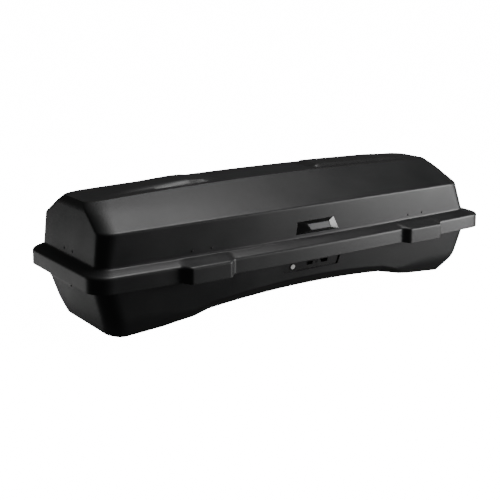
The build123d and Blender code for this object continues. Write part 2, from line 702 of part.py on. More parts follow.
TAB_X = BARREL_X - CAM_REACH + CAM_HALF - 0.2
TAB_LOW = BARREL_Y + CAM_REACH + CAM_HALF - TAB_OVERLAP
BAR_TOP = BAR_Z + BAR_DEPTH
link_top = lock_level(CAM_BACK).from_local_coords(Vector(0, STRIP[1], 0))
with BuildPart() as handle_link:
    with BuildSketch(lock_level(CAM_BACK)):
        Polygon((TAB_X, STRIP[0]), (TAB_X, STRIP[1]), (LINK[1], STRIP[1]), (LINK[1], LINK_FOOT),
                (LINK[0], LINK_FOOT), (LINK[0], STRIP[0]), align=None)
    extrude(amount=CAM_THICK)
    with BuildSketch(lock_level(CAM_BACK + CAM_THICK)):
        with Locations((sum(LINK) / 2, 0)):
            Rectangle(14, 10)
    extrude(amount=FACE - LEAF - 5.0 - CAM_BACK - CAM_THICK)
    with BuildSketch(Plane.YZ.offset(LOCK_X + LINK[0])):
        riser = link_top.Y
        Polygon((riser, link_top.Z - 4), (riser, BAR_TOP + LEAF), (BAR_Y - BAR_THICK / 2, BAR_TOP + LEAF),
                (BAR_Y - BAR_THICK / 2, BAR_TOP), (riser - LEAF, BAR_TOP), (riser - LEAF, link_top.Z - 4),
                align=None)
    extrude(amount=LINK[1] - LINK[0])
finish(handle_link, "handle_link")

with BuildPart() as lock_tab:
    with BuildSketch(lock_level(CAM_BACK)):
        with Locations((TAB_X + TAB_WIDTH / 2, (TAB_LOW + STRIP[0]) / 2)):
            Rectangle(TAB_WIDTH, STRIP[0] - TAB_LOW)
    extrude(amount=CAM_THICK)
finish(lock_tab, "lock_tab")

with BuildPart() as locking_bar:
    with Locations(((BAR_ENDS[0] + BAR_ENDS[1]) / 2, BAR_Y, BAR_Z)):
        Box(BAR_ENDS[1] - BAR_ENDS[0], BAR_THICK, BAR_DEPTH, align=(Align.CENTER, Align.CENTER, Align.MIN))
finish(locking_bar, "locking_bar")

BAR_FACE = BAR_Y + BAR_THICK / 2
for name, station in STATIONS.items():
    jaw_tip = station - STRIKER_PIN_RADIUS - 4.0
    root = jaw_tip - CLAW_JAW
    with BuildPart() as claw:
        with Locations((root - 15, BAR_FACE, STRIKER_PIN_Z)):
            Box(30, 6.5, 24, align=(Align.CENTER, Align.MIN, Align.CENTER))
        for side in (-1, 1):
            with BuildSketch(Plane.XZ.offset(-BAR_FACE - 2.2 - CLAW_THICK)):
                low, high = STRIKER_PIN_RADIUS + 0.6, 12.0
                points = [(root, low), (jaw_tip - 3, low), (jaw_tip, low + 3)]
                points += [(jaw_tip - 4, high), (root, high)]
                Polygon(*[(x, STRIKER_PIN_Z + side * z) for x, z in points], align=None)
            extrude(amount=CLAW_THICK)
    finish(claw, f"catch_claw_{name}")

# ================================================================ lid
EMBLEM_Y = -inset_at(LID_LEVELS, WIDEST_X, FOOT + 40)
BADGE = [(-74.0, 18.0), (-78.0, 66.0), (100.0, 66.0), (122.0, 18.0)]
EMBLEM = [(-58.0, 26.0), (-60.0, 58.0), (88.0, 58.0), (104.0, 26.0)]
BADGE_PLANE = Plane(origin=(0, EMBLEM_Y, FOOT), x_dir=(1, 0, 0), z_dir=(0, -1, 0))
with BuildPart() as lid_shell:
    add(lid_volume())
    add(lid_volume(SHELL), mode=Mode.SUBTRACT)
    with BuildSketch(BADGE_PLANE.offset(-BADGE_POCKET)):
        Polygon(*BADGE, align=None)
        offset(amount=GAP)
    extrude(amount=20, mode=Mode.SUBTRACT)
    for centre, outward in LID_RIVETS + REAR_RIVETS:
        add(drill(centre, outward, 40), mode=Mode.SUBTRACT)
finish(lid_shell, "lid_shell")

with BuildPart() as badge_plate:
    with BuildSketch(BADGE_PLANE.offset(-BADGE_POCKET)):
        Polygon(*BADGE, align=None)
    extrude(amount=BADGE_POCKET + 2.0)
finish(badge_plate, "badge_plate")
with BuildPart() as badge_emblem:
    with BuildSketch(BADGE_PLANE.offset(2.0)):
        Polygon(*EMBLEM, align=None)
    extrude(amount=2.0)
finish(badge_emblem, "badge_emblem")

PLATE_LOW, PLATE_HIGH = FOOT, RIVET_Z + 14.0
LEAF_REACH = RIVET_PITCH / 2 + 10.0
CROSS_Z = LIP_TOP - 2 * LEAF
for name, station in STATIONS.items():
    wall = narrowest(station, LEAF_REACH) - FOOT_LEVEL[1] - SHELL - GAP
    # hinge leaf: riveted plate, step out over the cut lip, and the middle knuckle
    with BuildPart() as hinge_leaf:
        with Locations((station, wall - LEAF, PLATE_LOW)):
            Box(2 * LEAF_REACH, LEAF, PLATE_HIGH - PLATE_LOW, align=(Align.CENTER, Align.MIN, Align.MIN))
        with BuildSketch(Plane.YZ.offset(station - LEAF_WIDTH / 2)):
            near, far = HINGE_Y - LEAF / 2, HINGE_Y + LEAF / 2
            Polygon((wall - LEAF, PLATE_LOW), (wall - LEAF, CROSS_Z - LEAF), (near, CROSS_Z - LEAF),
                    (near, HINGE_Z), (far, HINGE_Z), (far, CROSS_Z), (wall, CROSS_Z), (wall, PLATE_LOW),
                    align=None)
            with Locations((HINGE_Y, HINGE_Z)):
                Circle(HINGE_RADIUS)
                Circle(HINGE_PIN_RADIUS + RUNNING_FIT, mode=Mode.SUBTRACT)
        extrude(amount=LEAF_WIDTH)
        for centre, outward in LID_RIVETS:
            add(drill(centre, outward, 60), mode=Mode.SUBTRACT)
    finish(hinge_leaf, f"hinge_leaf_{name}")
    # striker: riveted plate with the pin that the claw hooks over
    with BuildPart() as striker:
        with Locations((station, LEAF - wall, PLATE_LOW)):
            Box(2 * LEAF_REACH, LEAF, PLATE_HIGH - PLATE_LOW, align=(Align.CENTER, Align.MAX, Align.MIN))
        low = STRIKER_PIN_Z - 2 * STRIKER_PIN_RADIUS
        with Locations((station, LEAF - wall, low)):
            Box(LEAF_WIDTH, LEAF, PLATE_LOW - low, align=(Align.CENTER, Align.MAX, Align.MIN))
        with BuildSketch(Plane.XZ.offset(wall - LEAF)):
            with Locations((station, STRIKER_PIN_Z)):
                Circle(STRIKER_PIN_RADIUS)
        extrude(amount=-BAR_FACE - 1.2 - wall + LEAF)
        for centre, outward in LID_RIVETS:
            add(drill(centre, outward, 60), mode=Mode.SUBTRACT)
    finish(striker, f"striker_{name}")

with BuildPart() as rear_plate:
    inner = Plane(origin=REAR_RIVETS[0][0], z_dir=REAR_RIVETS[0][1]).offset(-SHELL - 1.0 - LEAF)
    with BuildSketch(Plane(origin=inner.origin, x_dir=(0, 1, 0), z_dir=inner.z_dir)):
        with Locations((-REAR_RIVETS[0][0][1], 0)):
            Rectangle(2 * REAR_RIVETS_Y[1] + 24, 22)
    extrude(amount=LEAF)
    for centre, outward in REAR_RIVETS:
        add(drill(centre, outward, 60), mode=Mode.SUBTRACT)
finish(rear_plate, "rear_backing_plate")

with BuildPart() as lid_rivets:
    for centre, outward in LID_RIVETS:
        add(rivet(centre, outward, SHELL + LEAF + 5.0))
    for centre, outward in REAR_RIVETS:
        add(rivet(centre, outward, SHELL + LEAF + 1.0))
finish(lid_rivets, "lid_rivets")

with BuildPart() as rear_lip:
    with Locations((-HALF + SHELL + GAP, 0, RIM_Z + 8)):
        Box(4.0, REAR_LIP_LENGTH, 16, align=(Align.MIN, Align.CENTER, Align.MAX))
    with Locations((-HALF + SHELL + GAP + 2.0, -REAR_LIP_LENGTH / 2, RIM_Z - 6)):
        Box(4.0, 12, 8)
finish(rear_lip, "rear_lip")


def roof_band(x, width, thick):
    """Side-to-side band just under the roof, from crease to crease."""
    edge = min(half_width(x), half_width(x + width)) - CREASE_LEVEL[1] - SHELL
    run = (LID_LEVELS[4][1] - CREASE_LEVEL[1]) / (LID_ROOF - SHELL)
    far = max(abs(x), abs(x + width))
    top = TOP - SHELL - ROOF_DROP * (far / HALF) ** 2 - 2 * GAP
    shift = thick * hypot(1, run)

    def across(z):
        return edge - 1.5 - (z - CREASE) * run

    low = CREASE + 8.0
    right = [(across(low), low), (across(top), top)]
    under = [(across(top - thick) - shift, top - thick), (across(low) - shift, low)]
    left = [(-y, z) for y, z in reversed(right)]
    left_under = [(-y, z) for y, z in reversed(under)]
    with BuildPart() as band:
        with BuildSketch(Plane.YZ.offset(x)):
            Polygon(*right, *left, *left_under, *under, align=None)
        extrude(amount=width)
    return band.part


for name, x in STRUT_STATIONS.items():
    start = x + STAY_SIDE + STUD_PLATE
    with BuildPart() as lid_rib:
        add(roof_band(start, RIB_WIDTH, RIB_DEPTH))
        add(roof_band(start + 2, RIB_WIDTH - 4, RIB_DEPTH - 2), mode=Mode.SUBTRACT)
    finish(lid_rib, f"lid_rib_{name}")
    y, z = STRUT_HIGH
    with BuildPart() as stay_head:
        with BuildSketch(Plane.YZ.offset(start - STUD_PLATE)):
            Polygon((y - 12, z + 12), (y - 8, z - 8), (y + 8, z - 8), (y + 12, z + 8), align=None)
        extrude(amount=STUD_PLATE)
        with BuildSketch(Plane.YZ.offset(x + STRUT_EYE / 2 + 2 * GAP)):
            with Locations(STRUT_HIGH):
                Circle(STUD_RADIUS)
        extrude(amount=start - STUD_PLATE - x - STRUT_EYE / 2 - 2 * GAP)
    finish(stay_head, f"stay_head_{name}")

# ================================================================ gas stays
STAY_LENGTH = hypot(STRUT_HIGH[0] - STRUT_LOW[0], STRUT_HIGH[1] - STRUT_LOW[1])
STAY_WAY = Vector(0, STRUT_HIGH[0] - STRUT_LOW[0], STRUT_HIGH[1] - STRUT_LOW[1]).normalized()
ROD_START = 62.0
for name, x in STRUT_STATIONS.items():
    along = Plane(origin=(x, *STRUT_LOW), x_dir=(1, 0, 0), z_dir=STAY_WAY)
    with BuildPart() as stay_body:
        with BuildSketch(along.offset(STRUT_EYE_RADIUS - 2)):
            Circle(STRUT_BODY_RADIUS)
        extrude(amount=STRUT_BODY)
        with BuildSketch(Plane.YZ.offset(x - STRUT_EYE / 2)):
            with Locations(STRUT_LOW):
                Circle(STRUT_EYE_RADIUS)
        extrude(amount=STRUT_EYE)
        with BuildSketch(Plane.YZ.offset(x - STRUT_BODY_RADIUS - 1)):
            with Locations(STRUT_LOW):
                Circle(STUD_RADIUS + RUNNING_FIT)
        extrude(amount=2 * STRUT_BODY_RADIUS + 2, mode=Mode.SUBTRACT)
        with BuildSketch(along.offset(ROD_START - 2)):
            Circle(STRUT_ROD_RADIUS + RUNNING_FIT)
        extrude(amount=STRUT_BODY, mode=Mode.SUBTRACT)
    finish(stay_body, f"stay_body_{name}")
    with BuildPart() as stay_rod:
        with BuildSketch(along.offset(ROD_START)):
            Circle(STRUT_ROD_RADIUS)
        extrude(amount=STAY_LENGTH - ROD_START)
        with BuildSketch(Plane.YZ.offset(x - STRUT_EYE / 2)):
            with Locations(STRUT_HIGH):
                Circle(STRUT_EYE_RADIUS)
        extrude(amount=STRUT_EYE)
    finish(stay_rod, f"stay_rod_{name}")
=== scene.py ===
import json

import bmesh
import bpy
import numpy as np
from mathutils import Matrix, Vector


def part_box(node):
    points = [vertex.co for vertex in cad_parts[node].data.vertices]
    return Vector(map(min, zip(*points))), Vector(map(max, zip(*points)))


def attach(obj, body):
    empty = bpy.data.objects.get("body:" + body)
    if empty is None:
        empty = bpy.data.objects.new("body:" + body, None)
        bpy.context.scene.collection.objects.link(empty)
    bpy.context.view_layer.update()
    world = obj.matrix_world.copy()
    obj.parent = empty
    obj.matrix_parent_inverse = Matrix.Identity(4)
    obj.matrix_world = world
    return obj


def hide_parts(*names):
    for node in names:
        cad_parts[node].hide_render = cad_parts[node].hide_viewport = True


# A long hard-shell roof cargo box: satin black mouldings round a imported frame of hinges, stays and clamps.
# Metres throughout, in the frame's own axes: +X forward, +Y the hinge side, +Z up.
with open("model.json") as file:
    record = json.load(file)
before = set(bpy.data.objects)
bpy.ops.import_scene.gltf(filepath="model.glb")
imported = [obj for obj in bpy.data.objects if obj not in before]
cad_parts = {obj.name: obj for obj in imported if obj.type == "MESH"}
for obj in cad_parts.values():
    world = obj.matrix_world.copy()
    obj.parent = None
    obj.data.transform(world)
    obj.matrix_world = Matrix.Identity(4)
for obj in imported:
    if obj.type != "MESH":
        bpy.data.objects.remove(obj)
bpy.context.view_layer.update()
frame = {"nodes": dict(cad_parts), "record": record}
MM = 0.001

# ------------------------------------------------------------ sizes of the two mouldings, in millimetres
HALF = (np.array(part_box("lid_shell")[1]) / MM)[0]
WALL = 4.0
RIM_HALF = 303.0
WIDEST_X = 28.0
NARROWED = (22.0, 34.0)  # how far each side has drawn in at the rear and front ends
RIM_LOW, RIM_TOP, FOOT, CREASE, TOP = 188.0, 243.0, 263.0, 382.0, 481.0
ROOF_DROP = 22.0
STATIONS = (-475.0, 532.0)  # bulges of the rim, over the catches and hinges
BULGE_FULL, BULGE_END, BULGE_PROUD, BULGE_DROP = 81.0, 105.0, 26.0, 4.0
PAD_HALF, PAD_RAMP = 66.0, 9.0
REAR_PAD = ((-812, -19), (-620, 0), (-430, 11), (-385, 11), (-300, 0), (-262, -4))
FRONT_PAD = ((150, -3), (182, 10), (300, 8), (516, 3), (625, -4), (760, -22))
LIP_INSET, LIP_TOP = 10.0, 232.0
FLAT_HALF, FLARE = 213.0, 40.0
FLOOR_ENDS = (-763.0, 728.0)  # flat of the deep ends, along the box
CHINE_RISE = 12.0  # least height of the wall's bend above the edge of the underside
LID_SPINE, TUB_SPINE = (-700.0, 640.0), (-640.0, 600.0)  # where the skins close along the middle
REAR_FOOT = ((-800, -120), (-762, 0), (-486, 29), (-423, 46))
ARCH_TOP = (-28.0, 69.5)
FRONT_FOOT = ((379, 56), (492, 30), (739, 3), (780, -120))

# Outlines: height, inset of the sides, the rear and the front, then the corners' reach along x and y.
RIM_EDGE = (RIM_LOW, 0, 0, 0, (70, 70), (60, 60))
RIM_CREST = (RIM_TOP, 1, 1, 1, (70, 70), (60, 60))
LID_FOOT = (FOOT, 41, 38, 58, (46, 46), (56, 56))
LID_CREASE = (CREASE, 38, 51, 104, (58, 52), (70, 60))
LID_SHOULDER = (440.0, 136, 58, 134, (74, 50), (66, 56))
LID_ROOF = (TOP, 208, 76, 170, (88, 38), (60, 50))
TUB_TOP = (192.0, 40, 38, 44, (66, 66), (54, 54))
TUB_BEND = (60.0, 58, 76, 76, (66, 66), (60, 60))
TUB_FOOT = (0.0, 90, 98, 140, (64, 64), (60, 60))

LIP_INSIDE = (LIP_INSET + WALL, LIP_INSET + WALL, LIP_INSET + WALL, (56, 56), (46, 46))
LIP_OUTSIDE = (LIP_INSET, LIP_INSET, LIP_INSET, (60, 60), (50, 50))

END_STEPS, CORNER_STEPS = 16, 14


def circle_through(a, b, c):
    """Centre and radius of the circle through three points, where two perpendicular bisectors cross."""
    (ax, ay), (bx, by), (cx, cy) = a, b, c
    turn = 2 * (ax * (by - cy) + bx * (cy - ay) + cx * (ay - by))
    p, q, r = ax**2 + ay**2, bx**2 + by**2, cx**2 + cy**2
    x = (p * (by - cy) + q * (cy - ay) + r * (ay - by)) / turn
    y = (p * (cx - bx) + q * (ax - cx) + r * (bx - ax)) / turn
    return x, y, float(np.hypot(ax - x, ay - y))


SIDE_CIRCLE = circle_through((-HALF, RIM_HALF - NARROWED[0]), (WIDEST_X, RIM_HALF),
                             (HALF, RIM_HALF - NARROWED[1]))
ARCH_CIRCLE = circle_through(REAR_FOOT[-1], ARCH_TOP, FRONT_FOOT[0])


def half_width(x):
    """Half the rim's width: the upper arc of the circle that the side follows."""
    cx, cy, radius = SIDE_CIRCLE
    return cy + np.sqrt(radius**2 - (x - cx) ** 2)


def floor_height(x, y, start=FLAT_HALF):
    """Height of the underside: straight feet at the ends, an arc between, bevelled up beyond `start`."""
    cx, cz, radius = ARCH_CIRCLE
    px, pz = np.array(REAR_FOOT + FRONT_FOOT, float).T
    feet = np.interp(x, px, pz)
    arc = cz + np.sqrt(radius**2 - (np.clip(x, REAR_FOOT[-1][0], FRONT_FOOT[0][0]) - cx) ** 2)
    between = (x > REAR_FOOT[-1][0]) & (x < FRONT_FOOT[0][0])
    return np.maximum(0.0, np.where(between, arc, feet) + np.clip(np.abs(y) - start, 0, FLARE))


def bulge_mask(x):
    """0 away from a bulge and 1 on it, with a straight ramp between, averaged over a few millimetres."""
    soft = np.linspace(-6, 6, 7)[:, None]
    mask = np.zeros_like(x)
    for station in STATIONS:
        away = np.abs(x[None] + soft - station)
        mask = mask + np.clip((BULGE_END - away) / (BULGE_END - BULGE_FULL), 0, 1).mean(0)
    return mask


def side_stations():
    """Places along a side, closer together on the bulges' ramps and on the roof's steps."""
    spots = [np.linspace(-HALF + 70, HALF - 60, 170)]
    for station in STATIONS:
        for side in (-1, 1):
            spots.append(station + side * np.linspace(BULGE_FULL - 8, BULGE_END + 8, 15))
    for pad in (REAR_PAD, FRONT_PAD):
        for x, _ in pad[1:-1]:
            spots.append(x + np.linspace(-6, 6, 4))
    return np.unique(np.round(np.concatenate(spots), 1))


SIDE_X = side_stations()


def outline(level, inward=0.0, bulge=0.0):
    """Closed plan line: each side is the rim's arc drawn inward, each end is straight, and each corner is
    a quarter ellipse tangent to both. Every outline has the same columns, so any two join into a wall."""
    _, side, rear, front, rear_corner, front_corner = level
    ends = ((-1, rear - HALF + inward, rear_corner), (1, HALF - front - inward, front_corner))
    corners = {}
    for way, x_end, (rx, ry) in ends:
        rx, ry = max(rx - inward, 1.0), max(ry - inward, 1.0)
        x_mid = x_end - way * rx
        slope = float(half_width(x_mid + 1.0) - half_width(x_mid)) * way
        y_mid = float(half_width(x_mid)) - side - inward - ry
        angle = np.linspace(0, np.pi / 2, CORNER_STEPS + 1)
        y_arc = y_mid + ry * np.cos(angle) + slope * rx * np.sin(angle) * np.cos(angle)
        corners[way] = (x_mid + way * rx * np.sin(angle), y_arc, x_end, y_arc[-1])
    rear_x, rear_y, rear_end, rear_half = corners[-1]
    front_x, front_y, front_end, front_half = corners[1]
    share = (SIDE_X - SIDE_X[0]) / (SIDE_X[-1] - SIDE_X[0])
    along = SIDE_X + (rear_x[0] - SIDE_X[0]) * (1 - share) ** 4 + (front_x[0] - SIDE_X[-1]) * share**4
    flank = half_width(along) - side - inward
    if bulge:
        mask = bulge_mask(along)
        nearest = np.where(along < 0, STATIONS[0], STATIONS[1])
        proud = half_width(nearest) + BULGE_PROUD - inward
        flank = flank + bulge * mask * (proud - flank)
    steps = np.arange(END_STEPS) / END_STEPS
    xs = np.concatenate([np.full(END_STEPS, rear_end), rear_x[::-1], along[1:-1], front_x,
                         np.full(END_STEPS, front_end)])
    ys = np.concatenate([rear_half * steps, rear_y[::-1], flank[1:-1], front_y,
                         front_half * (1 - steps - steps[1])])
    half = np.stack([xs, ys], 1)
    other = half[-2:0:-1] * (1, -1)
    return np.concatenate([half, other])


def ring(level, inward=0.0, bulge=0.0, rise=0.0):
    """An outline at its level's height; on a bulge the rim's lower edge hangs a little."""
    plan = outline(level, inward, bulge)
    z = np.full(len(plan), level[0] + rise)
    if bulge and level is RIM_EDGE:
        z = z - BULGE_DROP * bulge_mask(plan[:, 0]) * (np.abs(plan[:, 1]) > RIM_HALF - 40)
    return np.column_stack([plan, z])


def rounded(lines, radii, steps=5):
    """Rows of a skin through sharp lines. Each inner line is replaced by a quadratic arc that starts and ends
    `radius` away from it, with one more row beside each end that keeps the wall's shading flat."""
    rows = [lines[0]]
    for before, line, after, radius in zip(lines, lines[1:], lines[2:], radii):
        back, ahead = before - line, after - line
        far_back = np.linalg.norm(back, axis=1, keepdims=True)
        far_ahead = np.linalg.norm(ahead, axis=1, keepdims=True)
        reach = np.minimum(radius, 0.44 * np.minimum(far_back, far_ahead))
        back, ahead = back / np.maximum(far_back, 1e-6), ahead / np.maximum(far_ahead, 1e-6)
        rows.append(line + back * reach * 1.12)
        for t in np.linspace(0, 1, steps):
            rows.append(line + back * reach * (1 - t) ** 2 + ahead * reach * t**2)
        rows.append(line + ahead * reach * 1.12)
    rows.append(lines[-1])
    return rows


def closed_in(edge, spine_ends, height, shares):
    """Rows from a closed line in to a spine along the middle: places slide straight in, and their heights
    follow a surface."""
    spine_x = np.clip(edge[:, 0], *spine_ends)
    rows = []
    for share in shares:
        x = edge[:, 0] + share * (spine_x - edge[:, 0])
        y = edge[:, 1] * (1 - share)
        rows.append(np.column_stack([x, y, height(x, y, share)]))
    return rows


def skin(name, rows):
    """Mesh from rows of points: each row is a closed line and neighbouring rows are joined by quads."""
    grid = np.stack(rows) * MM
    count, around = grid.shape[:2]
    i, j = np.meshgrid(np.arange(count - 1), np.arange(around), indexing="ij")
    nxt = (j + 1) % around
    quads = np.stack([i * around + j, i * around + nxt, (i + 1) * around + nxt, (i + 1) * around + j], -1)
    mesh = bpy.data.meshes.new(name)
    mesh.from_pydata(grid.reshape(-1, 3), [], quads.reshape(-1, 4).tolist())
    work = bmesh.new()
    work.from_mesh(mesh)
    bmesh.ops.remove_doubles(work, verts=work.verts, dist=2e-6)
    bmesh.ops.dissolve_degenerate(work, edges=work.edges, dist=1e-6)
    bmesh.ops.recalc_face_normals(work, faces=work.faces)
    work.to_mesh(mesh)
    work.free()
    mesh.shade_smooth()
    piece = bpy.data.objects.new(name, mesh)
    bpy.context.scene.collection.objects.link(piece)
    return piece


def roof_height(x, y):
    """Top of the lid: a shallow arch along the box, with raised areas behind and in front, their sides
    ramped."""
    base = TOP - ROOF_DROP * (x / HALF) ** 2
    pads = np.maximum(*(np.interp(x, *np.array(pad, float).T, left=-99, right=-99)
                        for pad in (REAR_PAD, FRONT_PAD)))
    lift = np.maximum(TOP + pads - base, 0)
    ramp = np.clip((PAD_HALF - np.abs(y)) / PAD_RAMP, 0, 1)
    return base + lift * ramp * ramp * (3 - 2 * ramp)


def roof_edge(inward=0.0):
    """Line where the sloping roof meets the top: as far up the slope as the arched top is high."""
    shoulder, top = ring(LID_SHOULDER, inward), ring(LID_ROOF, inward)
    x = top[:, 0]
    share = (TOP - ROOF_DROP * (x / HALF) ** 2 - inward - LID_SHOULDER[0]) / (TOP - LID_SHOULDER[0])
    return shoulder + share[:, None] * (top - shoulder)


def crease_line(inward=0.0):
    """The lid's main crease, bowed up a little in the middle of the box and down towards its ends."""
    line = ring(LID_CREASE, inward)
    line[:, 2] += 3.0 - 8.0 * (line[:, 0] / HALF) ** 2
    return line


def lid_rows():
    """The lid as one closed skin: in over its underside to the rim, round the rim's edge and back outside."""
    shares = (0.04, 0.1, 0.17, 0.24, 0.31, 0.4, 0.52, 0.68, 0.84, 1.0)
    inner_edge, outer_edge = roof_edge(WALL), roof_edge()
    inside = closed_in(inner_edge, LID_SPINE, lambda x, y, s: roof_height(x, y) - WALL, shares)
    outside = closed_in(outer_edge, LID_SPINE, lambda x, y, s: roof_height(x, y), shares)
    inner = [inside[0], inner_edge, ring(LID_SHOULDER, WALL), crease_line(WALL),
             ring(LID_FOOT, WALL, 0, -WALL / 2), ring(RIM_CREST, WALL, 1, -WALL), ring(RIM_EDGE, WALL, 1),
             ring(RIM_EDGE, 0, 1)]
    outer = [ring(RIM_CREST, 0, 1), ring(LID_FOOT), crease_line(), ring(LID_SHOULDER), outer_edge, outside[0]]
    radii = (14, 20, 8, 6, 5, 1.2, 1.2, 8, 7, 7, 24, 13)
    return inside[:0:-1] + rounded(inner + outer, radii) + outside[1:]


def tub_wall(z, inward=0.0):
    """Points of the tub's outer wall, one for each column, at each column's own height."""
    top, bend, foot = (outline(level, inward) for level in (TUB_TOP, TUB_BEND, TUB_FOOT))
    upper = np.clip((z - TUB_BEND[0]) / (TUB_TOP[0] - TUB_BEND[0]), 0, 1)[:, None]
    lower = np.clip(z / TUB_BEND[0], 0, 1)[:, None]
    plan = np.where(upper > 0, bend + upper * (top - bend), foot + lower * (bend - foot))
    return np.column_stack([plan, z])


def chine(inward=0.0):
    """Line where the walls meet the underside, found in each column by halving the stretch that holds it."""
    low, high = np.zeros(len(outline(TUB_TOP))), np.full(len(outline(TUB_TOP)), TUB_TOP[0])
    for _ in range(24):
        middle = (low + high) / 2
        at = tub_wall(middle, inward)
        above = middle > floor_height(at[:, 0], at[:, 1], FLAT_HALF - inward / 2) + inward
        low, high = np.where(above, low, middle), np.where(above, middle, high)
    return tub_wall((low + high) / 2, inward)


def tub_rows():
    """The tub as one closed skin: in over its floor, up inside, over the flange and lip, and down outside."""
    shares = (0.06, 0.14, 0.24, 0.36, 0.5, 0.65, 0.82, 1.0)

    def under(inward):
        """The underside's edge, the edge of its flat part and rows in to the middle, all set `inward`."""
        edge = chine(inward)
        flat = edge.copy()
        flat[:, 0] = np.clip(edge[:, 0], *FLOOR_ENDS)
        flat[:, 1] = np.clip(edge[:, 1], -FLAT_HALF, FLAT_HALF)
        flat[:, 2] = floor_height(flat[:, 0], flat[:, 1]) + inward
        rows = closed_in(flat, TUB_SPINE, lambda x, y, s: floor_height(x, y) + inward, shares)
        return edge, flat, rows

    inner_edge, inner_flat, inside = under(WALL)
    outer_edge, outer_flat, outside = under(0.0)
    bend = np.full(len(inner_edge), TUB_BEND[0])
    lines = [inside[0], inner_flat, inner_edge,
             tub_wall(np.maximum(bend, inner_edge[:, 2] + CHINE_RISE), WALL), ring(TUB_TOP, WALL),
             ring((TUB_TOP[0], *LIP_INSIDE))]
    lines += [ring((LIP_TOP, *LIP_INSIDE)), ring((LIP_TOP, *LIP_OUTSIDE)), ring((RIM_LOW, *LIP_OUTSIDE)),
              ring((RIM_LOW, *TUB_TOP[1:])), tub_wall(np.maximum(bend, outer_edge[:, 2] + CHINE_RISE)),
              outer_edge, outer_flat, outside[0]]
    radii = (20, 12, 14, 2.5, 1.5, 1.2, 1.2, 1.0, 2.5, 24, 18, 30)
    return inside[:0:-1] + rounded(lines, radii) + outside[1:]


def lock_frame():
    """The lock panel's own axes: x along the box, y up the wall, z out of it."""
    centre_x, centre_z = 3.0, 161.0
    lean = np.arctan((TUB_BEND[1] - TUB_TOP[1]) / (TUB_TOP[0] - TUB_BEND[0]))
    inset = TUB_TOP[1] + (TUB_TOP[0] - centre_z) * np.tan(lean)
    axes = np.array([(1, 0, 0), (0, -np.sin(lean), np.cos(lean)), (0, -np.cos(lean), -np.sin(lean))])
    return np.array([centre_x, -(float(half_width(centre_x)) - inset), centre_z]), axes


def prism(name, plan, origin, axes, low, high):
    """A closed block: a flat outline carried straight from `low` to `high` along its plane's normal."""
    plan = np.asarray(plan, float)
    count = len(plan)
    ends = [origin + plan @ axes[:2] + depth * axes[2] for depth in (low, high)]
    sides = [(i, (i + 1) % count, count + (i + 1) % count, count + i) for i in range(count)]
    mesh = bpy.data.meshes.new(name)
    mesh.from_pydata((np.concatenate(ends) * MM).tolist(), [],
                     [tuple(range(count))[::-1], tuple(range(count, 2 * count))] + sides)
    work = bmesh.new()
    work.from_mesh(mesh)
    bmesh.ops.recalc_face_normals(work, faces=work.faces)
    work.to_mesh(mesh)
    work.free()
    piece = bpy.data.objects.new(name, mesh)
    bpy.context.scene.collection.objects.link(piece)
    return piece


def softened(corners, radius, steps=6):
    """An outline with each corner replaced by a quadratic arc that starts and ends `radius` from it."""
    corners = np.asarray(corners, float)
    back, ahead = np.roll(corners, 1, 0) - corners, np.roll(corners, -1, 0) - corners
    back = back / np.linalg.norm(back, axis=1, keepdims=True) * radius
    ahead = ahead / np.linalg.norm(ahead, axis=1, keepdims=True) * radius
    t = np.linspace(0, 1, steps)[None, :, None]
    return (corners[:, None] + back[:, None] * (1 - t) ** 2 + ahead[:, None] * t**2).reshape(-1, 2)


def cut(piece, tools):
    """Take blocks out of a piece, then mark its sharp edges for shading."""
    for tool in tools:
        modifier = piece.modifiers.new("cut", "BOOLEAN")
        modifier.operation, modifier.solver, modifier.object = "DIFFERENCE", "EXACT", tool
        bpy.context.view_layer.update()
        done = bpy.data.meshes.new_from_object(piece.evaluated_get(bpy.context.evaluated_depsgraph_get()))
        piece.modifiers.clear()
        piece.data = done
        bpy.data.objects.remove(tool)
    piece.data.shade_smooth()
    piece.data.set_sharp_from_angle(angle=np.radians(32))


# ------------------------------------------------------------ shader groups shared by the materials
def group(name, inputs, outputs):
    """A shader node group with named sockets: inputs carry their default values."""
    tree = bpy.data.node_groups.new(name, "ShaderNodeTree")
    for label, kind, value in inputs:
        socket = tree.interface.new_socket(name=label, in_out="INPUT", socket_type=kind)
        if value is not None:
            socket.default_value = value
    for label, kind in outputs:
        tree.interface.new_socket(name=label, in_out="OUTPUT", socket_type=kind)
    return tree, tree.nodes.new("NodeGroupInput"), tree.nodes.new("NodeGroupOutput")


def node(tree, kind, links=None, **values):
    """A node with its properties and socket values set, and its inputs linked from other sockets."""
    made = tree.nodes.new(kind)
    for key, value in values.items():
        if hasattr(made, key):
            setattr(made, key, value)
        else:
            made.inputs[key.replace("_", " ")].default_value = value
    for key, source in (links or {}).items():
        tree.links.new(source, made.inputs[key])
    return made


